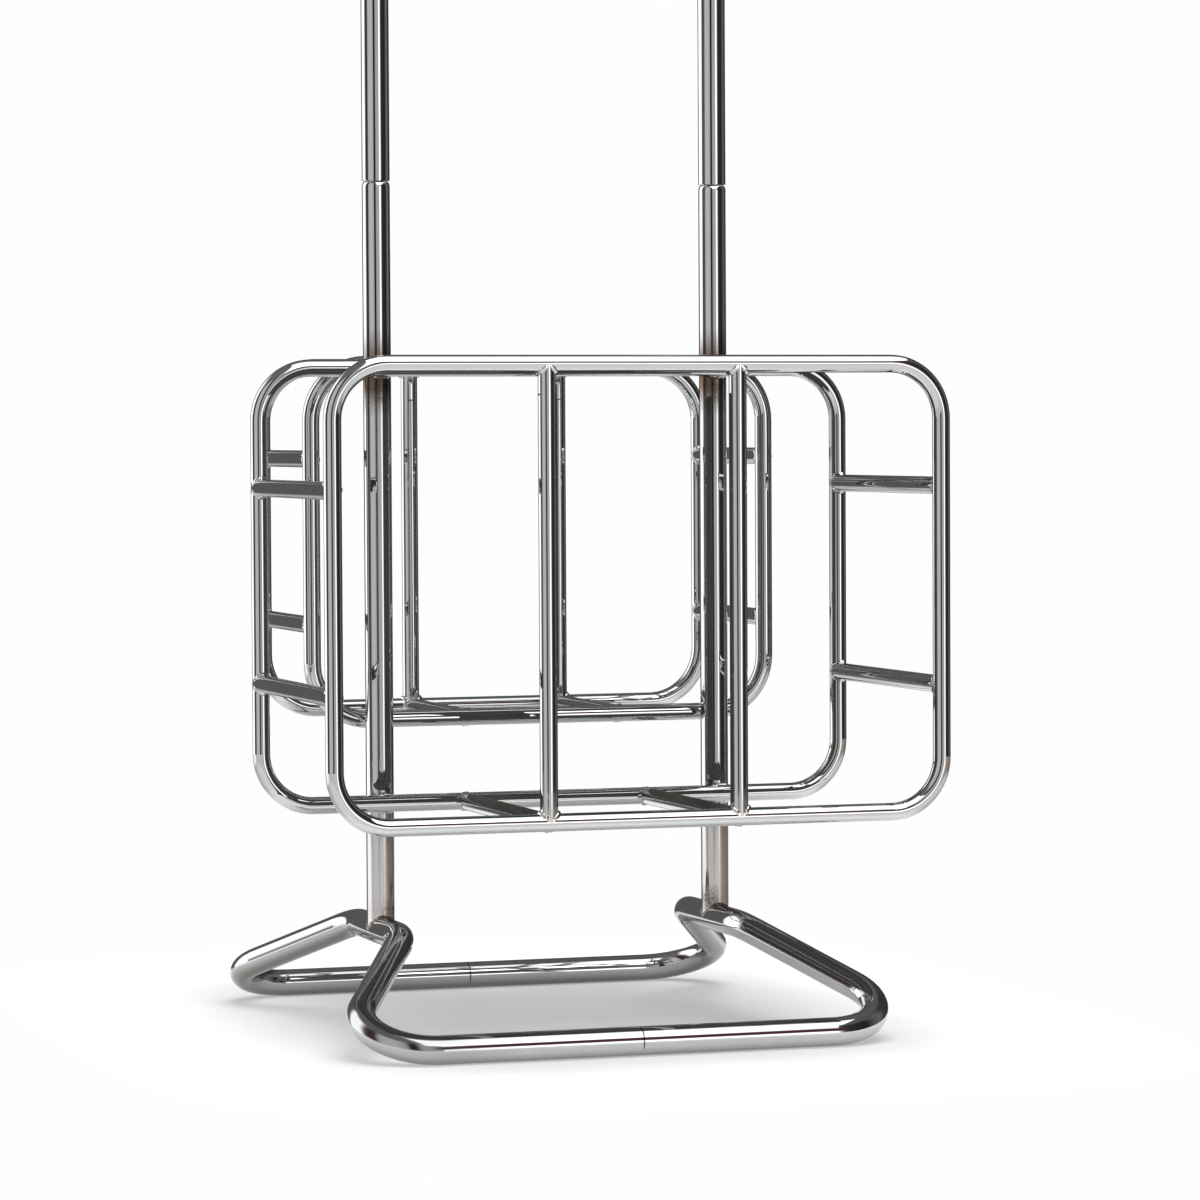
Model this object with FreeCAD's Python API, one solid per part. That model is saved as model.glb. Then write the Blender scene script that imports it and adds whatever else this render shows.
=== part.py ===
import FreeCAD, Part
import math
import os

# Cabin-baggage gauge stand: two open-topped cages of bent tube on a pair of uprights,
# a looped floor base, and an upper hoop that slips over the tops of the uprights.
#
# Frame: millimetres, +Z up, the stand's front towards -Y and its right side towards +X.
# Origin: on the floor, midway between the two uprights, in the plane through their axes.

# ---------------------------------------------------------------- driving dimensions
cage_tube_d = 16.0            # hoops and bars of both cages
stand_tube_d = 26.0           # base, uprights and upper hoop
cage_tube_wall = 1.5
stand_tube_wall = 2.0

# main cage: centre-line sizes of its two equal hoops
main_width = 568.0
main_height = 404.0
main_depth = 262.0            # front hoop to back hoop
main_bottom_z = 212.0         # centre line of the bottom bars
main_bend_radius = 49.0
front_bar_spacing = 178.0     # the front hoop's two upright bars
main_lower_rail_z = 326.0
main_upper_rail_z = 506.0

# small cage, behind the uprights
small_width = 448.0
small_height = 332.0
small_depth = 187.0
small_bottom_z = 288.0
small_bend_radius = 53.0
far_bar_spacing = 152.0
small_lower_rail_z = 377.0
small_upper_rail_z = 532.0

# stand
upright_spacing = 331.0
upright_seam_z = 790.0        # where the upper hoop sits on the uprights' shoulders
top_z = 1300.0                # highest point of the upper hoop
upper_bend_radius = 70.0

# base: corners of each half's centre line before they are rounded
base_corner_x = 280.0
base_front_y = 266.0
base_rear_y = 278.0
apex_front_y = 74.0
apex_rear_y = 87.0
apex_z = 92.0
floor_bend_radius = 56.0
apex_bend_radius = 60.0

# slip joint between upright and upper hoop
shoulder_height = 5.0         # rounded step from the full tube to the spigot
spigot_length = 60.0
spigot_clearance = 0.25       # radial, inside the upper hoop's tube
spigot_lead_in = 2.0          # chamfer at the spigot's tip
seam_gap = 0.3
spigot_wall = 2.0

# hidden sleeves that join the two halves of the base
ferrule_length = 70.0
ferrule_wall = 1.5
ferrule_clearance = 0.05

cage_r = cage_tube_d / 2
stand_r = stand_tube_d / 2
cage_bore_r = cage_r - cage_tube_wall
stand_bore_r = stand_r - stand_tube_wall

# planes in which the pieces lie
back_hoop_y = -(stand_r + cage_r)
front_hoop_y = back_hoop_y - main_depth
near_hoop_y = stand_r + cage_r
far_hoop_y = near_hoop_y + small_depth

Z_AXIS = FreeCAD.Vector(0, 0, 1)
SIDES = (("left", -1), ("right", 1))
MAIN_RAILS = (("lower", main_lower_rail_z), ("upper", main_upper_rail_z))
SMALL_RAILS = (("lower", small_lower_rail_z), ("upper", small_upper_rail_z))


# ---------------------------------------------------------------- building blocks
def vec(x, y, z):
    return FreeCAD.Vector(x, y, z)


def unit(v):
    return FreeCAD.Vector(v) / v.Length


def rod(start, end, radius):
    """Solid cylinder from one point to another."""
    return Part.makeCylinder(radius, (end - start).Length, start, end - start)


def bend(before, corner, after, radius):
    """Tangent points and middle of the arc that rounds one corner of a path."""
    to_before = unit(before - corner)
    to_after = unit(after - corner)
    half_angle = to_before.getAngle(to_after) / 2
    reach = radius / math.tan(half_angle)
    bisector = unit(to_before + to_after)
    centre = corner + bisector * (radius / math.sin(half_angle))
    middle = centre - bisector * radius
    return corner + to_before * reach, middle, corner + to_after * reach


def rounded_path(points, radii, closed):
    """Wire through the points, with a tangent arc of the given radius at each corner."""
    count = len(points)
    corners = range(count) if closed else range(1, count - 1)
    arcs = [bend(points[i - 1], points[i], points[(i + 1) % count], radii[i]) for i in corners]
    edges = []
    if closed:
        for i, (start, middle, end) in enumerate(arcs):
            edges.append(Part.LineSegment(arcs[i - 1][2], start).toShape())
            edges.append(Part.Arc(start, middle, end).toShape())
        return Part.Wire(edges)
    here = points[0]
    for start, middle, end in arcs:
        edges.append(Part.LineSegment(here, start).toShape())
        edges.append(Part.Arc(start, middle, end).toShape())
        here = end
    edges.append(Part.LineSegment(here, points[-1]).toShape())
    return Part.Wire(edges)


def swept_rod(path, radius):
    """Solid round section carried along a path, square to it where the path starts."""
    first = path.OrderedEdges[0]
    start = first.valueAt(first.FirstParameter)
    along = first.tangentAt(first.FirstParameter)
    if path.OrderedVertexes[0].Point.distanceToPoint(start) > 1e-6:
        start = first.valueAt(first.LastParameter)
        along = first.tangentAt(first.LastParameter) * -1
    section = Part.Wire([Part.Circle(start, along, radius).toShape()])
    return path.makePipeShell([section], True, True)


def rectangle_hoop(width, bottom_z, top_z_, y, bend_radius):
    """Closed hoop of cage tube in a plane parallel to XZ."""
    half = width / 2
    corners = [vec(-half, y, bottom_z), vec(half, y, bottom_z), vec(half, y, top_z_), vec(-half, y, top_z_)]
    path = rounded_path(corners, [bend_radius] * 4, True)
    return swept_rod(path, cage_r).cut(swept_rod(path, cage_bore_r))


def coped_bar(start, end, cutters):
    """Cage-tube bar between two centre lines, its ends shaped to the tubes that it meets."""
    bar = rod(start, end, cage_r).cut(rod(start, end, cage_bore_r))
    for cutter in cutters:
        bar = bar.cut(cutter)
    return max(bar.Solids, key=lambda piece: piece.Volume)


def export(name, shape):
    shape.exportStep(os.path.join("parts", name + ".step"))


# ---------------------------------------------------------------- base
def base_path(side):
    """Centre line of one half of the base, from the front butt joint round to the rear one."""
    corners = [
        vec(0, -base_front_y, stand_r),
        vec(side * base_corner_x, -base_front_y, stand_r),
        vec(side * upright_spacing / 2, -apex_front_y, apex_z),
        vec(side * upright_spacing / 2, apex_rear_y, apex_z),
        vec(side * base_corner_x, base_rear_y, stand_r),
        vec(0, base_rear_y, stand_r),
    ]
    radii = [0, floor_bend_radius, apex_bend_radius, apex_bend_radius, floor_bend_radius, 0]
    return rounded_path(corners, radii, False)


def base_half(side):
    path = base_path(side)
    return swept_rod(path, stand_r).cut(swept_rod(path, stand_bore_r))


def base_ferrule(y):
    """Short sleeve inside the floor bar, across the butt joint of the two halves."""
    start = vec(-ferrule_length / 2, y, stand_r)
    end = vec(ferrule_length / 2, y, stand_r)
    outer_r = stand_bore_r - ferrule_clearance
    return rod(start, end, outer_r).cut(rod(start, end, outer_r - ferrule_wall))


# ---------------------------------------------------------------- uprights and upper hoop
def upright(side):
    """Tube swaged to a spigot at its top and shaped at its foot to sit on the base's apex."""
    shoulder_top = upright_seam_z - seam_gap
    shoulder_bottom = shoulder_top - shoulder_height
    spigot_r = stand_bore_r - spigot_clearance
    spigot_bore_r = spigot_r - spigot_wall
    spigot_top = shoulder_top + spigot_length
    neck_bottom = shoulder_bottom - shoulder_height
    step = stand_r - spigot_r
    shoulder_turn = 2 * math.atan(step / shoulder_height)
    shoulder_radius = shoulder_height / math.sin(shoulder_turn)
    shoulder = Part.Arc(
        vec(stand_r, 0, shoulder_bottom),
        vec(
            stand_r - shoulder_radius * (1 - math.cos(shoulder_turn / 2)),
            0,
            shoulder_bottom + shoulder_radius * math.sin(shoulder_turn / 2),
        ),
        vec(spigot_r, 0, shoulder_top),
    ).toShape()
    spigot_side = [
        vec(spigot_r, 0, shoulder_top),
        vec(spigot_r, 0, spigot_top - spigot_lead_in),
        vec(spigot_r - spigot_lead_in / 2, 0, spigot_top),
        vec(spigot_bore_r, 0, spigot_top),
        vec(spigot_bore_r, 0, shoulder_bottom),
        vec(stand_bore_r, 0, neck_bottom),
        vec(stand_bore_r, 0, apex_z),
        vec(stand_r, 0, apex_z),
        vec(stand_r, 0, shoulder_bottom),
    ]
    profile = Part.Wire([shoulder] + Part.makePolygon(spigot_side).Edges)
    tube = Part.Face(profile).revolve(vec(0, 0, 0), Z_AXIS, 360)
    tube.translate(vec(side * upright_spacing / 2, 0, 0))
    apex_start = vec(side * upright_spacing / 2, -apex_front_y, apex_z)
    apex_end = vec(side * upright_spacing / 2, apex_rear_y, apex_z)
    tube = tube.cut(rod(apex_start, apex_end, stand_r))
    return max(tube.Solids, key=lambda piece: piece.Volume)


def upper_hoop():
    """Inverted U whose open ends slip over the two spigots."""
    half = upright_spacing / 2
    crown_z = top_z - stand_r
    corners = [
        vec(-half, 0, upright_seam_z),
        vec(-half, 0, crown_z),
        vec(half, 0, crown_z),
        vec(half, 0, upright_seam_z),
    ]
    path = rounded_path(corners, [0, upper_bend_radius, upper_bend_radius, 0], False)
    return swept_rod(path, stand_r).cut(swept_rod(path, stand_bore_r))


# ---------------------------------------------------------------- cages
def bar_across_hoop(x, y, bottom_z, top_z_):
    """Upright bar in the plane of a hoop, between its bottom and top."""
    reach = cage_tube_d * 2
    cutters = [rod(vec(x - reach, y, z), vec(x + reach, y, z), cage_r) for z in (bottom_z, top_z_)]
    return coped_bar(vec(x, y, bottom_z), vec(x, y, top_z_), cutters)


def side_rail(x, z, y_from, y_to):
    """Bar from hoop to hoop at the side of a cage."""
    reach = cage_tube_d * 2
    cutters = [rod(vec(x, y, z - reach), vec(x, y, z + reach), cage_r) for y in (y_from, y_to)]
    return coped_bar(vec(x, y_from, z), vec(x, y_to, z), cutters)


def floor_rail(x, z, y_from, y_to, barred_y):
    """Bar from hoop to hoop under a cage, cut clear of the upright bar that lands beside it."""
    reach = cage_tube_d * 2
    cutters = [rod(vec(x - reach, y, z), vec(x + reach, y, z), cage_r) for y in (y_from, y_to)]
    cutters.append(rod(vec(x, barred_y, z), vec(x, barred_y, z + reach), cage_r))
    return coped_bar(vec(x, y_from, z), vec(x, y_to, z), cutters)


def main_cage():
    top = main_bottom_z + main_height
    pieces = {}
    pieces["main_front_hoop"] = rectangle_hoop(main_width, main_bottom_z, top, front_hoop_y, main_bend_radius)
    pieces["main_back_hoop"] = rectangle_hoop(main_width, main_bottom_z, top, back_hoop_y, main_bend_radius)
    for side_name, side in SIDES:
        bar_x = side * front_bar_spacing / 2
        rail_x = side * main_width / 2
        pieces["main_front_bar_" + side_name] = bar_across_hoop(bar_x, front_hoop_y, main_bottom_z, top)
        pieces["main_floor_rail_" + side_name] = floor_rail(
            bar_x, main_bottom_z, front_hoop_y, back_hoop_y, front_hoop_y)
        for level_name, rail_z in MAIN_RAILS:
            name = "main_side_rail_" + side_name + "_" + level_name
            pieces[name] = side_rail(rail_x, rail_z, front_hoop_y, back_hoop_y)
    return pieces


def small_cage():
    top = small_bottom_z + small_height
    pieces = {}
    pieces["small_near_hoop"] = rectangle_hoop(small_width, small_bottom_z, top, near_hoop_y, small_bend_radius)
    pieces["small_far_hoop"] = rectangle_hoop(small_width, small_bottom_z, top, far_hoop_y, small_bend_radius)
    for side_name, side in SIDES:
        bar_x = side * far_bar_spacing / 2
        rail_x = side * small_width / 2
        pieces["small_far_bar_" + side_name] = bar_across_hoop(bar_x, far_hoop_y, small_bottom_z, top)
        pieces["small_floor_rail_" + side_name] = floor_rail(
            bar_x, small_bottom_z, near_hoop_y, far_hoop_y, far_hoop_y)
        for level_name, rail_z in SMALL_RAILS:
            name = "small_side_rail_" + side_name + "_" + level_name
            pieces[name] = side_rail(rail_x, rail_z, near_hoop_y, far_hoop_y)
    return pieces


def stand():
    pieces = {}
    pieces["base_ferrule_front"] = base_ferrule(-base_front_y)
    pieces["base_ferrule_rear"] = base_ferrule(base_rear_y)
    pieces["upper_hoop"] = upper_hoop()
    for side_name, side in SIDES:
        pieces["base_frame_" + side_name] = base_half(side)
        pieces["upright_" + side_name] = upright(side)
    return pieces


def main():
    os.makedirs("parts", exist_ok=True)
    for pieces in (stand(), main_cage(), small_cage()):
        for name, shape in pieces.items():
            export(name, shape)


main()
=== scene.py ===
import math

import bmesh
import bpy
from mathutils import Matrix, Vector, noise


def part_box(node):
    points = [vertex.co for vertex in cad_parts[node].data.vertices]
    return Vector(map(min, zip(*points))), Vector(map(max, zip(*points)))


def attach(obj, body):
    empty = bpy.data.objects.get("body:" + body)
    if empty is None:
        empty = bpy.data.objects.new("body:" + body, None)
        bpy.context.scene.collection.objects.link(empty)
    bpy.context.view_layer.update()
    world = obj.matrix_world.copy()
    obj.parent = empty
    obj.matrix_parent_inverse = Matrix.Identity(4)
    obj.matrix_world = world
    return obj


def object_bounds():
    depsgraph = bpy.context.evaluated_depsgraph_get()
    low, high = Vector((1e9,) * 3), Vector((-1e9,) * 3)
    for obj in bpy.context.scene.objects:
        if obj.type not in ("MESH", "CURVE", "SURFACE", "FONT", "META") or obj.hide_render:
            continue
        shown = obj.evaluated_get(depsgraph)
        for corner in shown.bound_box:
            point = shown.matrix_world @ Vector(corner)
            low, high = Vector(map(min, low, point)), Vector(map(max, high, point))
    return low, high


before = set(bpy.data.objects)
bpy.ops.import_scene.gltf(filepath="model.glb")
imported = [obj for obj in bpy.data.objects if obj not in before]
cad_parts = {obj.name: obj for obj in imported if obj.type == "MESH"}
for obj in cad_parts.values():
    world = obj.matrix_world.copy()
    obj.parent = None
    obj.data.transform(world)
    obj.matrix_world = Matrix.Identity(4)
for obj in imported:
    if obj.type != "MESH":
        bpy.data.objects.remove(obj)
cad_low, cad_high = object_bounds()

# Tube radii in metres, and the sides of the stand
CAGE_R = 0.008
STAND_R = 0.013
SIDES = {"left": -1, "right": 1}
X_AXIS = Vector((1, 0, 0))
Y_AXIS = Vector((0, 1, 0))
Z_AXIS = Vector((0, 0, 1))

# Camera: where it stands, where it looks, how far it is rolled, and its lens
CAMERA_PLACE = Vector((-1.33311, -4.24222, 0.55822))
CAMERA_LOOK = Vector((0.31008, 0.95002, -0.03613)).normalized()
CAMERA_ROLL = -0.00521
CAMERA_LENS = 141.6
SENSOR_WIDTH = 36

# The backdrop as the camera sees it, and the strength of the studio's light
BACKDROP_WHITE = 0.99
STUDIO_LEVEL = 1.29


# ---------------------------------------------------------------- places on the CAD nodes
def middle(node_name):
    """The middle of a CAD node's box."""
    low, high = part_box(node_name)
    return (low + high) / 2


def hoop_lines(hoop_name):
    """A cage hoop's plane, and the heights of the centre lines of its bottom and top."""
    low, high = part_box(hoop_name)
    return (low.y + high.y) / 2, low.z + CAGE_R, high.z - CAGE_R


# ---------------------------------------------------------------- node trees
def add_node(tree, kind, inputs=None, **settings):
    """A shader node with its settings, and its inputs linked to sockets or set to values."""
    made = tree.nodes.new(kind)
    for name, value in settings.items():
        setattr(made, name, value)
    for name, value in (inputs or {}).items():
        if isinstance(value, bpy.types.NodeSocket):
            tree.links.new(value, made.inputs[name])
        else:
            made.inputs[name].default_value = value
    return made


def math_node(tree, operation, *values):
    """The result of one arithmetic step on sockets or numbers."""
    inputs = dict(enumerate(values))
    return add_node(tree, "ShaderNodeMath", inputs, operation=operation).outputs[0]


def product(tree, first, *others):
    """Sockets or numbers multiplied together."""
    for other in others:
        first = math_node(tree, "MULTIPLY", first, other)
    return first


def ramp(tree, value, stops):
    """A colour ramp through (position, grey or colour) stops."""
    made = add_node(tree, "ShaderNodeValToRGB", {"Fac": value})
    elements = made.color_ramp.elements
    while len(elements) < len(stops):
        elements.new(0.5)
    for element, (position, colour) in zip(elements, stops):
        element.position = position
        if isinstance(colour, (int, float)):
            colour = (colour, colour, colour)
        element.color = (*colour, 1)
    return made.outputs["Color"]


def mix_colours(tree, share, first, second):
    """Two colours mixed by a share."""
    inputs = {0: share, 6: first, 7: second}
    return add_node(tree, "ShaderNodeMix", inputs, data_type="RGBA").outputs[2]


def remap(tree, value, low, high, to_low=0.0, to_high=1.0):
    """value taken from low..high to to_low..to_high, and kept in that range."""
    inputs = {"Value": value, "From Min": low, "From Max": high, "To Min": to_low, "To Max": to_high}
    return add_node(tree, "ShaderNodeMapRange", inputs).outputs[0]


def noise_node(tree, vector, scale, detail, roughness=0.5):
    """Noise from 0 to 1 over the object's own coordinates."""
    inputs = {"Vector": vector, "Scale": scale, "Detail": detail, "Roughness": roughness}
    return add_node(tree, "ShaderNodeTexNoise", inputs).outputs["Fac"]


def show_surface(tree, shader, kind="ShaderNodeOutputMaterial"):
    """Makes a shader node the surface of its material, or of the world."""
    tree.links.new(shader.outputs[0], add_node(tree, kind).inputs["Surface"])


def new_material(name):
    """A material without nodes, and its node tree."""
    material = bpy.data.materials.new(name)
    material.use_nodes = True
    material.node_tree.nodes.clear()
    return material, material.node_tree


def mesh_object(name, bm):
    """A new object in the scene that holds the mesh in bm, which is freed."""
    mesh = bpy.data.meshes.new(name)
    bm.to_mesh(mesh)
    bm.free()
    made = bpy.data.objects.new(name, mesh)
    bpy.context.scene.collection.objects.link(made)
    return made


# ---------------------------------------------------------------- plated steel
CHROME = (0.62, 0.624, 0.63)
INNER_STEEL = (0.45, 0.44, 0.43)
WELD = (0.64, 0.63, 0.61)
FOOT_WELD = (0.50, 0.45, 0.40)
WORN = (0.66, 0.62, 0.58, 1)
STAIN = (0.16, 0.115, 0.085, 1)
RUST = (0.085, 0.04, 0.018, 1)
SEAM = (0.07, 0.05, 0.04, 1)
# Painted shade: darkens the base's underside, where it reflects the shaded floor
UNDERSIDE_SHADE = (0.24, 0.245, 0.225, 1)
BEND_GREY = (0.34, 0.34, 0.35, 1)

# Noise on the plating, as (scale, detail, roughness). The streaks are drawn out along the upright.
CLOUDS = (18, 4, 0.6)
GRAIN = (420, 3, 0.6)
STREAKS = (260, 3, 0.6)
WAVES = (55, 1, 0.5)
STREAK_STRETCH = (1, 1, 0.10)
WAVE_HEIGHT = 0.0006

# Base colour under thin clouds, as a share of the colour under thick ones
THIN_CLOUD_SHADE = 0.97

# Roughness that each mark adds at full strength
GRAIN_ROUGHNESS = 0.006
WORN_ROUGHNESS = 0.05
STAIN_ROUGHNESS = 0.12
UNDERSIDE_SHADE_ROUGHNESS = 0.05
BEND_GREY_ROUGHNESS = 0.10

# How much of the colour under it a mark hides at full strength
UNDERSIDE_SHADE_COVER = 0.9
BEND_GREY_COVER = 0.5
SEAM_COVER = 0.9

# Distances from an upright's axis towards the middle of the stand over which stains and streaks set in
STAIN_SIDE = (-0.004, 0.006)
STREAK_SIDE = (0.0, 0.010)
# Streaks on the right upright, as a share of those on the left one, and where one gives way to the other
RIGHT_STREAKS = 0.25
MIDDLE_STRIP = (-0.01, 0.01)
# Half the height over which the worn part sets in, and the heights between which rust spots thicken downwards
WORN_EDGE = 0.004
SPOTS_THICKEN = (0.150, 0.115)

# Painted shade under the base, which stands for the shaded floor in the reflection on its underside: the
# upward part of the surface's normal where it begins and where it is full, and the same for its lowest strip,
# where it is a painted contact shadow. It covers the whole underside behind the y where it starts, given
# below.
UNDERSIDE_SHADE_FACING = (0.05, -0.6)
UNDERSIDE_SHADE_CURVE = 0.6
LOWEST_FACING = (-0.72, -0.95)
LOWEST_SHADE = 0.8
UNDERSIDE_SHADE_FROM = 0.02
UNDERSIDE_SHADE_EDGE = 0.05

# The greyer, duller patch on the bend lies this far in from the corner of the base
BEND_GREY_INSET = 0.03
BEND_GREY_REACH = 0.12

# The butt line in the base, and the heights between which it fades downwards
SEAM_HALF_WIDTH = 0.0009
SEAM_FADE = (0.005, 0.010)


class Plating:
    """A plated surface's colour and roughness, built up mark by mark in the object's own coordinates."""

    def __init__(self, name, base, smooth, dull):
        """Cloudy plating, from smooth to dull, with a fine grain."""
        self.material, tree = new_material(name)
        self.tree = tree
        coordinates = add_node(tree, "ShaderNodeTexCoord").outputs
        self.place = coordinates["Object"]
        self.normal = coordinates["Normal"]
        parts = add_node(tree, "ShaderNodeSeparateXYZ", {"Vector": self.place}).outputs
        self.x, self.y, self.z = parts["X"], parts["Y"], parts["Z"]
        self.clouds = noise_node(tree, self.place, *CLOUDS)
        self.grain = noise_node(tree, self.place, *GRAIN)
        shaded = tuple(channel * THIN_CLOUD_SHADE for channel in base)
        self.colour = ramp(tree, self.clouds, [(0.3, shaded), (0.7, base)])
        cloudy = remap(tree, self.clouds, 0.35, 0.7, smooth, dull)
        self.rough = math_node(tree, "ADD", cloudy, remap(tree, self.grain, 0.5, 0.75, 0, GRAIN_ROUGHNESS))

    def mark(self, share, colour, cover=None):
        """Lays a colour over a share of the surface, hiding what is under it by cover."""
        if cover is not None:
            share = product(self.tree, share, cover)
        self.colour = mix_colours(self.tree, share, self.colour, colour)

    def roughen(self, share, amount):
        """Makes a share of the surface rougher."""
        self.rough = math_node(self.tree, "ADD", self.rough, product(self.tree, share, amount))

    def inward_of(self, distance):
        """How far towards the middle a point lies from the axis of an upright at that distance."""
        return math_node(self.tree, "SUBTRACT", distance, math_node(self.tree, "ABSOLUTE", self.x))

    def bands(self, marks, inward=None):
        """How strongly bands round the tube are stained. marks are (middle height, half height at full
        strength, fade, strength, strength on the outer side).
        The last one only counts where inward is given."""
        tree = self.tree
        stained = None
        for centre, half, fade, strength, outer in marks:
            distance = math_node(tree, "ABSOLUTE", math_node(tree, "SUBTRACT", self.z, centre))
            band = remap(tree, distance, half, half + fade, strength, 0)
            if inward is not None:
                band = product(tree, band, remap(tree, inward, *STAIN_SIDE, outer, 1))
            stained = band if stained is None else math_node(tree, "MAXIMUM", stained, band)
        return stained

    def wear(self, level, inward):
        """Dulls the tube below a height. Gives the worn part, and the streaks on the side of it that
        faces the middle of the stand."""
        tree = self.tree
        mapping = add_node(tree, "ShaderNodeMapping", {"Vector": self.place, "Scale": STREAK_STRETCH})
        streaks = noise_node(tree, mapping.outputs[0], *STREAKS)
        worn = remap(tree, self.z, level + WORN_EDGE, level - WORN_EDGE)
        self.mark(worn, WORN, remap(tree, streaks, 0.35, 0.65, 0.15, 0.5))
        self.roughen(worn, WORN_ROUGHNESS)
        streaked = product(
            tree, remap(tree, inward, *STREAK_SIDE), worn, remap(tree, streaks, 0.35, 0.62, 0.12, 0.56),
            remap(tree, self.x, *MIDDLE_STRIP, 1, RIGHT_STREAKS))
        return worn, streaked

    def stain(self, stained, worn=None):
        """Brown patches with rust spots. Where a worn part is given, the spots are thickest at its foot."""
        tree = self.tree
        self.mark(stained, STAIN, remap(tree, self.clouds, 0.25, 0.6, 0.5, 0.9))
        spots = product(tree, stained, remap(tree, self.grain, 0.52, 0.58, 0, 0.95))
        if worn is not None:
            near_foot = product(tree, worn, remap(tree, self.z, *SPOTS_THICKEN, 0.35, 1))
            spots = product(tree, spots, remap(tree, near_foot, 0, 1, 0.2, 1))
        self.mark(spots, RUST)
        self.roughen(stained, STAIN_ROUGHNESS)

    def paint_underside_shade(self, start):
        """Painted shade, which also roughens, on the whole underside behind start, and only on its lowest
        strip in front of that, where it is a painted contact shadow.
        """
        tree = self.tree
        facing = add_node(tree, "ShaderNodeSeparateXYZ", {"Vector": self.normal}).outputs["Z"]
        under = math_node(tree, "POWER", remap(tree, facing, *UNDERSIDE_SHADE_FACING), UNDERSIDE_SHADE_CURVE)
        behind = product(tree, under, remap(tree, self.y, start, start + UNDERSIDE_SHADE_EDGE))
        lowest = remap(tree, facing, *LOWEST_FACING, 0, LOWEST_SHADE)
        shaded_underside = math_node(tree, "MAXIMUM", behind, lowest)
        self.mark(shaded_underside, UNDERSIDE_SHADE, UNDERSIDE_SHADE_COVER)
        self.roughen(shaded_underside, UNDERSIDE_SHADE_ROUGHNESS)

    def grey_patch(self, centre, reach):
        """Duller, greyer plating round a place."""
        tree = self.tree
        away = add_node(tree, "ShaderNodeVectorMath", {0: self.place, 1: centre}, operation="DISTANCE")
        greyed = remap(tree, away.outputs["Value"], reach, reach * 0.5)
        self.mark(greyed, BEND_GREY, BEND_GREY_COVER)
        self.roughen(greyed, BEND_GREY_ROUGHNESS)

    def seam(self, half_width):
        """A dark line round the tube at the middle of the stand, which fades underneath."""
        tree = self.tree
        line = remap(tree, math_node(tree, "ABSOLUTE", self.x), half_width, half_width * 0.6)
        self.mark(product(tree, line, remap(tree, self.z, *SEAM_FADE)), SEAM, SEAM_COVER)

    def finish(self, ripple):
        """The material, with faint waves in the plating."""
        tree = self.tree
        waves = noise_node(tree, self.place, *WAVES)
        bump = add_node(tree, "ShaderNodeBump", {
            "Strength": ripple, "Distance": WAVE_HEIGHT, "Height": waves})
        show_surface(tree, add_node(tree, "ShaderNodeBsdfPrincipled", {
            "Base Color": self.colour, "Metallic": 1.0, "Roughness": self.rough,
            "Normal": bump.outputs["Normal"]}))
        return self.material


def base_plating():
    """Plating of the base, with its butt line, painted shade under it and the greyer, duller bend at its
    front left.
    """
    plating = Plating("chrome_base", CHROME, smooth=0.02, dull=0.055)
    base_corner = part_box("base_frame_left")[0]
    # Painted shade under the base, and a painted contact shadow along its lowest strip
    plating.paint_underside_shade(UNDERSIDE_SHADE_FROM)
    plating.grey_patch((base_corner.x + BEND_GREY_INSET, base_corner.y + BEND_GREY_INSET, STAND_R), BEND_GREY_REACH)
    plating.seam(SEAM_HALF_WIDTH)
    return plating.finish(ripple=0.05)


def upright_plating():
    """Plating of the uprights, stained at the hoops and the feet, and worn below the main cage."""
    main_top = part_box("main_back_hoop")[1].z
    main_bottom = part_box("main_back_hoop")[0].z
    plating = Plating("chrome_lower", CHROME, smooth=0.02, dull=0.05)
    inward = plating.inward_of(middle("upright_right").x)
    stained = plating.bands([
        (main_top - 0.012, 0.012, 0.030, 1.25, 1.0), (main_bottom - 0.004, 0.0, 0.03, 0.48, 0.2),
        (0.110, 0.002, 0.014, 0.8, 0.1)], inward)
    worn, streaked = plating.wear(main_bottom + 0.006, inward)
    plating.stain(math_node(plating.tree, "MAXIMUM", stained, streaked), worn)
    return plating.finish(ripple=0.05)


def foot_weld_plating():
    """The rusty welds at the feet of the uprights."""
    plating = Plating("weld_foot", FOOT_WELD, smooth=0.15, dull=0.35)
    plating.stain(plating.bands([(0.105, 0.01, 0.02, 0.65, 1.0)]))
    return plating.finish(ripple=0.4)


def dress_cad_nodes():
    """Gives each CAD node the finish of its part of the stand."""
    chrome_cage = Plating("chrome_cage", CHROME, smooth=0.012, dull=0.03).finish(ripple=0.05)
    finishes = {
        "main_": chrome_cage,
        "small_": chrome_cage,
        "upper_hoop": Plating("chrome_stand", CHROME, smooth=0.012, dull=0.035).finish(ripple=0.05),
        "upright_": upright_plating(),
        "base_frame": base_plating(),
        "base_ferrule": Plating("steel_inner", INNER_STEEL, smooth=0.25, dull=0.4).finish(ripple=0.02),
    }
    for node_name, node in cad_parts.items():
        for prefix, material in finishes.items():
            if node_name.startswith(prefix):
                node.data.materials.clear()
                node.data.materials.append(material)


# ---------------------------------------------------------------- welds
BEAD_R = 0.0030
FOOT_BEAD_R = 0.0022
BEAD_SIDES = 16
RING_STEPS = 96
NOTCH_STEPS = 24
KINK_ROUNDING = 0.0012
# How far a bead stands out of the line where two tubes meet, in bead radii, and how much less where their
# faces are flush
PROUD = 0.78
PROUD_LOSS = 0.48
# Where an upright and a bar touch: the bead's place from the bar's centre line, its tilt and its half length
NOTCH_INWARD = 0.0035
NOTCH_UP = 0.0068
NOTCH_TILT = 0.4
NOTCH_HALF_LENGTH = 0.0085
# Thinnest end of a short bead, as the square of its share of the full radius
END_THINNEST = 0.02
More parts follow.
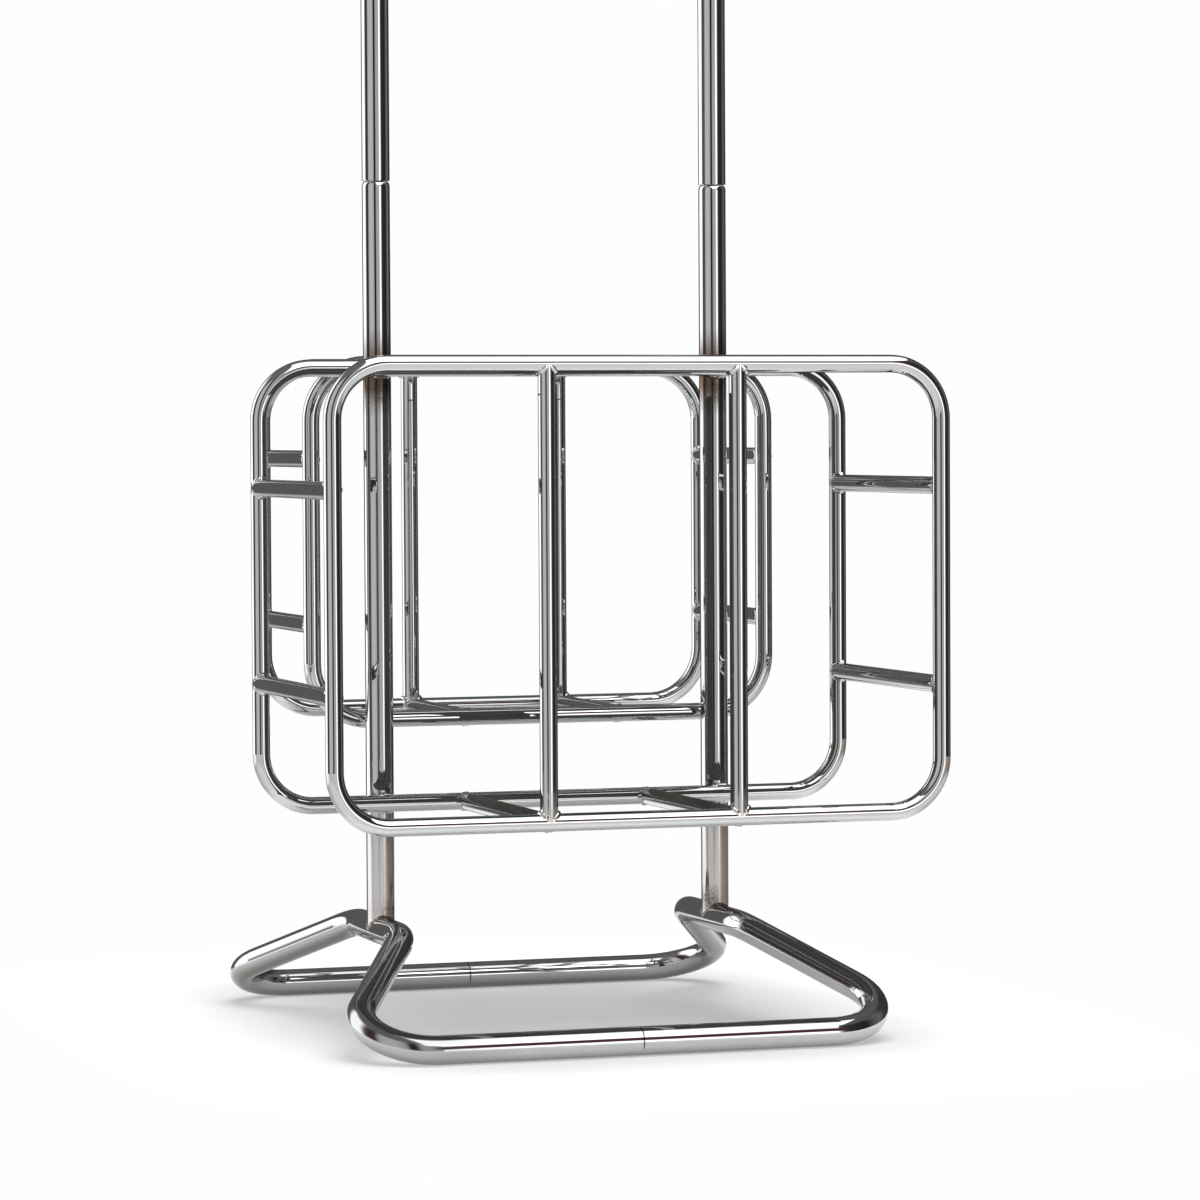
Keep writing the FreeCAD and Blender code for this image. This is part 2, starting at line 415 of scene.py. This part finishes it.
# Ripples along a bead, and its slow and fine lumps as (share of the radius, scale of the noise)
RIPPLE_SHARE = 0.06
RIPPLE_LENGTH = 0.0042
SLOW_LUMPS = (0.26, 330)
FINE_LUMPS = (0.14, 800)
# Seeds of the lumps, and the steps between the seeds of beads that follow each other
TOP_SEED = 2.1
BOTTOM_SEED = 7.3
FOOT_SEED = 3.3
RAIL_SEED, RAIL_SEED_STEP = 0.4, 1.37
CROSSING_SEED, CROSSING_SEED_STEP = 11.0, 0.83
# Beads are kept this far inside the outermost faces of the stand
INSET = 0.0001


def bead_mesh(bm, path, radii, closed):
    """Sweeps a round section of changing radius along (point, outward) pairs.
    The ends of an open bead are capped."""
    count = len(path)
    rings = []
    for k, ((point, out), radius) in enumerate(zip(path, radii)):
        before = path[(k - 1) % count][0] if closed or k > 0 else point
        after = path[(k + 1) % count][0] if closed or k < count - 1 else point
        along = (after - before).normalized()
        across = along.cross(out).normalized()
        up = across.cross(along)
        ring = []
        for j in range(BEAD_SIDES):
            turn = math.tau * j / BEAD_SIDES
            ring.append(bm.verts.new(point + radius * (math.cos(turn) * up + math.sin(turn) * across)))
        rings.append(ring)
    for k in range(count if closed else count - 1):
        here, there = rings[k], rings[(k + 1) % count]
        for j in range(BEAD_SIDES):
            beside = (j + 1) % BEAD_SIDES
            bm.faces.new((here[j], here[beside], there[beside], there[j]))
    if not closed:
        bm.faces.new(rings[0][::-1])
        bm.faces.new(rings[-1])


def lumps(point, length, seed):
    """How much thicker or thinner a bead is at a point: ripples along it, and slow and fine lumps."""
    ripple = RIPPLE_SHARE * math.sin(math.tau * length / RIPPLE_LENGTH + seed)
    slow = SLOW_LUMPS[0] * noise.noise(point * SLOW_LUMPS[1] + Vector((seed, 0, 0)))
    fine = FINE_LUMPS[0] * noise.noise(point * FINE_LUMPS[1] + Vector((0, seed, 0)))
    return 1 + ripple + slow + fine


def saddle_bead(bm, joint, bar_dir, tube_dir, radius, bead_radius, seed):
    """A weld all round the coped end of a bar on a tube of the same size.
    joint is where their axes meet, and bar_dir points from the bar to the tube."""
    side = bar_dir.cross(tube_dir)
    path, radii, length, last = [], [], 0.0, None
    for k in range(RING_STEPS):
        turn = math.tau * k / RING_STEPS
        across = radius * math.sin(turn)
        back = math.sqrt(radius * radius - across * across + KINK_ROUNDING ** 2)
        bar_normal = tube_dir * math.cos(turn) + side * math.sin(turn)
        tube_normal = (side * across - bar_dir * back) / radius
        flush = max(0.0, bar_normal.dot(tube_normal))
        out = (bar_normal + tube_normal).normalized()
        point = joint + tube_dir * radius * math.cos(turn) + side * across - bar_dir * back
        length += 0 if last is None else (point - last).length
        last = point
        proud = (PROUD - PROUD_LOSS * flush) * bead_radius
        path.append((point + out * (proud - bead_radius), out))
        radii.append(bead_radius * lumps(point, length, seed))
    bead_mesh(bm, path, radii, True)


def touching_bead(bm, centre, run, out, seed):
    """A short weld in the notch between two tubes that touch, with rounded ends."""
    path, radii = [], []
    for k in range(NOTCH_STEPS + 1):
        share = 2 * k / NOTCH_STEPS - 1
        point = centre + run * NOTCH_HALF_LENGTH * share
        taper = math.sqrt(max(END_THINNEST, 1 - share ** 4))
        path.append((point, out))
        radii.append(BEAD_R * taper * lumps(point, NOTCH_HALF_LENGTH * share, seed))
    bead_mesh(bm, path, radii, False)


def weld_piece(name, material, build):
    """One object holding the welds of one kind, fixed to the stand."""
    bm = bmesh.new()
    build(bm)
    for vertex in bm.verts:
        for axis in range(3):
            vertex.co[axis] = min(max(vertex.co[axis], cad_low[axis] + INSET), cad_high[axis] - INSET)
    bmesh.ops.recalc_face_normals(bm, faces=bm.faces)
    piece = mesh_object(name, bm)
    piece.data.shade_smooth()
    piece.data.materials.append(material)
    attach(piece, "stand")


def bar_welds(prefix, hoop):
    """Welds of the two upright bars on a hoop."""
    plane, bottom, top = hoop_lines(hoop)

    def build(bm):
        for index, side in enumerate(SIDES):
            x = middle(f"{prefix}_{side}").x
            for z, toward, seed in ((top, Z_AXIS, TOP_SEED), (bottom, -Z_AXIS, BOTTOM_SEED)):
                saddle_bead(bm, Vector((x, plane, z)), toward, X_AXIS, CAGE_R, BEAD_R, seed + index)
    return build


def rail_welds(cage, front_hoop, back_hoop):
    """Welds of the side rails and floor rails of a cage on its two hoops."""
    front, bottom, _ = hoop_lines(front_hoop)
    back, _, _ = hoop_lines(back_hoop)

    def build(bm):
        seed = RAIL_SEED
        for side in SIDES:
            lower, upper = (middle(f"{cage}_side_rail_{side}_{level}") for level in ("lower", "upper"))
            floor_x = middle(f"{cage}_floor_rail_{side}").x
            for x, z, tube_dir in (
                    (lower.x, lower.z, Z_AXIS), (upper.x, upper.z, Z_AXIS), (floor_x, bottom, X_AXIS)):
                for y, toward in ((front, -Y_AXIS), (back, Y_AXIS)):
                    seed += RAIL_SEED_STEP
                    saddle_bead(bm, Vector((x, y, z)), toward, tube_dir, CAGE_R, BEAD_R, seed)
    return build


def foot_welds(bm):
    """Welds of the two uprights on the raised ends of the base."""
    for side, sign in SIDES.items():
        at = middle(f"upright_{side}")
        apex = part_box(f"base_frame_{side}")[1].z - STAND_R
        saddle_bead(bm, Vector((at.x, at.y, apex)), -Z_AXIS, Y_AXIS, STAND_R, FOOT_BEAD_R, FOOT_SEED * sign)


def crossing_welds(bm):
    """Short welds above and below each hoop bar that lies against an upright."""
    seed = CROSSING_SEED
    for hoop, outward in (("main_back_hoop", -1), ("small_near_hoop", 1)):
        plane, bottom, top = hoop_lines(hoop)
        for side in SIDES:
            x = middle(f"upright_{side}").x
            for z in (bottom, top):
                for up in (-1, 1):
                    seed += CROSSING_SEED_STEP
                    place = Vector((x, plane - outward * NOTCH_INWARD, z + up * NOTCH_UP))
                    out = Vector((0, outward * NOTCH_TILT, up)).normalized()
                    touching_bead(bm, place, X_AXIS, out, seed)


def add_welds():
    """The welds of the stand, as one piece for each kind."""
    weld_chrome = Plating("weld_chrome", WELD, smooth=0.04, dull=0.12).finish(ripple=0.3)
    for name, build in (
            ("weld_main_front_bars", bar_welds("main_front_bar", "main_front_hoop")),
            ("weld_small_far_bars", bar_welds("small_far_bar", "small_far_hoop")),
            ("weld_main_rails", rail_welds("main", "main_front_hoop", "main_back_hoop")),
            ("weld_small_rails", rail_welds("small", "small_near_hoop", "small_far_hoop"))):
        weld_piece(name, weld_chrome, build)
    weld_piece("weld_upright_feet", foot_weld_plating(), foot_welds)
    weld_piece("weld_upright_crossings", weld_chrome, crossing_welds)


# ---------------------------------------------------------------- studio
# Brightness round the studio by bearing from the camera in degrees, right being positive: the walls, with a
# tall window to the rear left and another to the right, and the dark beam that crosses them between two
# bearings
WALLS = [
    (-180, 0.09), (-136, 0.10), (-129, 1.5), (-99, 1.5), (-88, (0.13, 0.09, 0.08)),
    (-76, (0.04, 0.025, 0.022)), (-66, (0.06, 0.045, 0.042)), (-58, 0.50), (-40, 0.56), (-22, 0.50),
    (-15, 0.36), (-11, 0.01), (-1, 0.01),
    (4, 0.36), (12, 0.45), (30, 0.44), (34, 1.6), (41, 1.6), (48, 0.12), (56, 0.03), (86, 0.02), (98, 0.08),
    (110, 0.13), (118, 0.12), (127, 0.045), (150, 0.03), (180, 0.09),
]
BEAM_FROM, BEAM_TO = 12, 56
BEAM = sorted(
    [stop for stop in WALLS if not BEAM_FROM < stop[0] < BEAM_TO]
    + [(24, 0.25), (29, (0.09, 0.035, 0.04)), (50, (0.07, 0.03, 0.035))])
# The ceiling, the sweep that joins the walls to the ground, and the ground
CEILING = [
    (-180, 0.12), (-60, (0.15, 0.15, 0.14)), (0, (0.15, 0.15, 0.145)), (60, 0.12), (120, 0.09), (180, 0.12),
]
SWEEP = [
    (-180, 0.09), (-136, 0.10), (-129, 1.1), (-81, 1.1), (-76, (0.58, 0.575, 0.60)),
    (4, (0.60, 0.595, 0.615)), (14, (0.70, 0.65, 0.58)), (50, (0.58, 0.52, 0.46)), (66, (0.34, 0.29, 0.25)),
    (120, (0.22, 0.18, 0.16)), (150, 0.16), (180, 0.30),
]
GROUND = [
    (-180, 0.65), (-140, 0.60), (-120, 0.42), (-60, 0.72), (0, 0.76), (60, 0.76), (120, 0.5), (180, 0.35),
]
# Heights in degrees over which each of these sets in. The beam has a lower edge and an upper one.
BEAM_BOTTOM = (8, 11)
BEAM_TOP = (33, 30)
CEILING_EDGE = (40, 50)
SWEEP_EDGE = (-4.3, -4.9)
GROUND_EDGE = (-12, -16)


def studio_world():
    """White for the camera, and the walls, windows and ceiling of a studio for everything else."""
    world = bpy.data.worlds.new("studio")
    bpy.context.scene.world = world
    world.use_nodes = True
    tree = world.node_tree
    tree.nodes.clear()
    toward_camera = math.atan2(-CAMERA_LOOK.y, -CAMERA_LOOK.x)
    direction = add_node(tree, "ShaderNodeTexCoord").outputs["Generated"]
    turned = add_node(tree, "ShaderNodeVectorRotate", {"Vector": direction, "Angle": -toward_camera},
                      rotation_type="Z_AXIS").outputs[0]
    parts = add_node(tree, "ShaderNodeSeparateXYZ", {"Vector": turned})
    bearing = math_node(tree, "ARCTAN2", parts.outputs["Y"], parts.outputs["X"])
    bearing = math_node(tree, "MULTIPLY_ADD", bearing, 1 / math.tau, 0.5)
    height = math_node(tree, "MULTIPLY", math_node(tree, "ARCSINE", parts.outputs["Z"]), 180 / math.pi)

    def band(stops):
        """A band of the studio, from stops at bearings of -180 to 180 degrees."""
        return ramp(tree, bearing, [((angle + 180) / 360, colour) for angle, colour in stops])

    in_beam = product(tree, remap(tree, height, *BEAM_BOTTOM), remap(tree, height, *BEAM_TOP))
    room = mix_colours(tree, in_beam, band(WALLS), band(BEAM))
    for edge, stops in ((CEILING_EDGE, CEILING), (SWEEP_EDGE, SWEEP), (GROUND_EDGE, GROUND)):
        room = mix_colours(tree, remap(tree, height, *edge), room, band(stops))
    camera_ray = add_node(tree, "ShaderNodeLightPath").outputs["Is Camera Ray"]
    white = (*(3 * [BACKDROP_WHITE / STUDIO_LEVEL]), 1)
    colour = mix_colours(tree, camera_ray, room, white)
    background = add_node(tree, "ShaderNodeBackground", {"Color": colour, "Strength": STUDIO_LEVEL})
    show_surface(tree, background, "ShaderNodeOutputWorld")


def area_light(name, place, size, power, look_at, seen_in_chrome):
    """A soft rectangular lamp turned to a point, which either shows in the chrome or lights the floor."""
    data = bpy.data.lights.new(name, "AREA")
    data.shape = "RECTANGLE"
    data.size, data.size_y = size
    data.energy = power
    lamp = bpy.data.objects.new(name, data)
    place = Vector(place)
    turn = (Vector(look_at) - place).to_track_quat("-Z", "Y").to_matrix().to_4x4()
    lamp.matrix_world = Matrix.Translation(place) @ turn
    lamp.visible_camera = False
    lamp.visible_glossy = seen_in_chrome
    lamp.visible_diffuse = not seen_in_chrome
    bpy.context.scene.collection.objects.link(lamp)


FLOOR_R = 1.3
FLOOR_SEGMENTS = 96
# The painted shadow under the stand: its middle and half size along each axis, and how square its outline is
SHADE = (("X", 0.02, 0.33), ("Y", 0.05, 0.44))
SHADE_SQUARENESS = 4
# Brightness of the floor over distances from the patch's middle, in half sizes, and the distances over which
# the floor fades away
SHADE_RISE = {"From Min": 0.26, "From Max": 1.66, "To Min": 0.365, "To Max": 0.92}
FLOOR_FADE = (1.05, 1.5)
FLOOR_MOTTLE = 0.01
FLOOR_ROUGHNESS = 0.6
# Painted light: the floor glows by this much, which softens its shadows
FLOOR_PAINTED_GLOW = 0.8


def floor_material():
    """Pale paint with a painted shadow under the stand, which glows a little as painted light that softens
    its shadows, and fades away further out.
    """
    material, tree = new_material("pale_floor")
    place = add_node(tree, "ShaderNodeTexCoord").outputs["Object"]
    parts = add_node(tree, "ShaderNodeSeparateXYZ", {"Vector": place})
    powers = []
    for axis, centre, half in SHADE:
        offset = math_node(tree, "SUBTRACT", parts.outputs[axis], centre)
        share = math_node(tree, "ABSOLUTE", math_node(tree, "DIVIDE", offset, half))
        powers.append(math_node(tree, "POWER", share, SHADE_SQUARENESS))
    reach = math_node(tree, "POWER", math_node(tree, "ADD", *powers), 1 / SHADE_SQUARENESS)
    # Painted shadow: the floor's paint darkens towards the middle of the patch under the stand
    soft = add_node(tree, "ShaderNodeMapRange", {"Value": reach, **SHADE_RISE},
                    interpolation_type="SMOOTHSTEP").outputs[0]
    mottle = remap(tree, noise_node(tree, place, 6, 3), 0.3, 0.7, -FLOOR_MOTTLE, FLOOR_MOTTLE)
    shade = math_node(tree, "ADD", soft, mottle)
    channels = {"Red": shade, "Green": shade, "Blue": shade}
    colour = add_node(tree, "ShaderNodeCombineColor", channels).outputs[0]
    dimmed = mix_colours(tree, 0.5, colour, (0, 0, 0, 1))
    paint = add_node(tree, "ShaderNodeBsdfDiffuse", {"Color": dimmed, "Roughness": FLOOR_ROUGHNESS})
    # Painted light: the floor glows in its own colour, painted shadow included
    painted_glow = add_node(tree, "ShaderNodeEmission", {"Color": colour, "Strength": FLOOR_PAINTED_GLOW})
    lit = add_node(tree, "ShaderNodeAddShader", {0: paint.outputs[0], 1: painted_glow.outputs[0]})
    gone = add_node(tree, "ShaderNodeBsdfTransparent")
    show_surface(tree, add_node(tree, "ShaderNodeMixShader", {
        0: remap(tree, reach, *FLOOR_FADE), 1: lit.outputs[0], 2: gone.outputs[0]}))
    return material


def studio_floor():
    """The pale floor, which fades into the backdrop."""
    bm = bmesh.new()
    bmesh.ops.create_circle(bm, cap_ends=True, segments=FLOOR_SEGMENTS, radius=FLOOR_R)
    floor = mesh_object("floor", bm)
    floor.data.materials.append(floor_material())


def painted_reflection_card(name, corners):
    """A dark card that only shows in reflections: a painted reflection that glows its own dark colour."""
    bm = bmesh.new()
    bm.faces.new([bm.verts.new(corner) for corner in corners])
    card = mesh_object(name, bm)
    material, tree = new_material(name)
    place = add_node(tree, "ShaderNodeTexCoord").outputs["Object"]
    mottle = noise_node(tree, place, 9, 3)
    colour = ramp(tree, mottle, [(0.3, (0.045, 0.048, 0.042)), (0.7, (0.085, 0.09, 0.08))])
    show_surface(tree, add_node(tree, "ShaderNodeEmission", {"Color": colour, "Strength": 1.0}))
    card.data.materials.append(material)
    card.visible_camera = False
    card.visible_diffuse = False
    card.visible_shadow = False


# How far the cards stay inside the main cage's outside faces, at its low corner and its high one
CARD_INSET_LOW = Vector((0.020, 0.020, 0.018))
CARD_INSET_HIGH = Vector((0.020, 0.020, 0.034))


def add_reflection_cards():
    """Dark cards that paint dark reflections into the chrome: level ones near the bottom and the top of the
    main cage's space, and an upright one between its left half and its right half."""
    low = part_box("main_front_hoop")[0] + CARD_INSET_LOW
    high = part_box("main_back_hoop")[1] - CARD_INSET_HIGH
    for name, z in (("painted_reflection_card_low", low.z), ("painted_reflection_card_high", high.z)):
        painted_reflection_card(name, ((low.x, low.y, z), (high.x, low.y, z), (high.x, high.y, z), (low.x, high.y, z)))
    painted_reflection_card("painted_reflection_card_middle", (
        (0, low.y, low.z), (0, high.y, low.z), (0, high.y, high.z), (0, low.y, high.z)))


def add_camera():
    """The camera of the main view."""
    data = bpy.data.cameras.new("camera")
    data.lens = CAMERA_LENS
    data.sensor_width = SENSOR_WIDTH
    camera = bpy.data.objects.new("camera", data)
    right = CAMERA_LOOK.cross(Z_AXIS).normalized()
    up = right.cross(CAMERA_LOOK)
    cos, sin = math.cos(CAMERA_ROLL), math.sin(CAMERA_ROLL)
    rolled_right = cos * right + sin * up
    rolled_up = -sin * right + cos * up
    turn = Matrix((rolled_right, rolled_up, -CAMERA_LOOK)).transposed().to_4x4()
    camera.matrix_world = Matrix.Translation(CAMERA_PLACE) @ turn
    bpy.context.scene.collection.objects.link(camera)
    bpy.context.scene.camera = camera


# ---------------------------------------------------------------- the scene
add_camera()
studio_world()
studio_floor()
area_light("softbox_overhead", place=(0.45, -1.35, 2.1), size=(1.75, 2.8), power=28,
           look_at=(0.45, -1.35, 0), seen_in_chrome=True)
area_light("fill_overhead", place=(0.25, -0.25, 2.6), size=(2.4, 2.4), power=150,
           look_at=(0, 0, 0), seen_in_chrome=False)
# Dark cards that paint dark reflections into the chrome
add_reflection_cards()
dress_cad_nodes()
add_welds()

bpy.context.scene.view_settings.view_transform = "Standard"
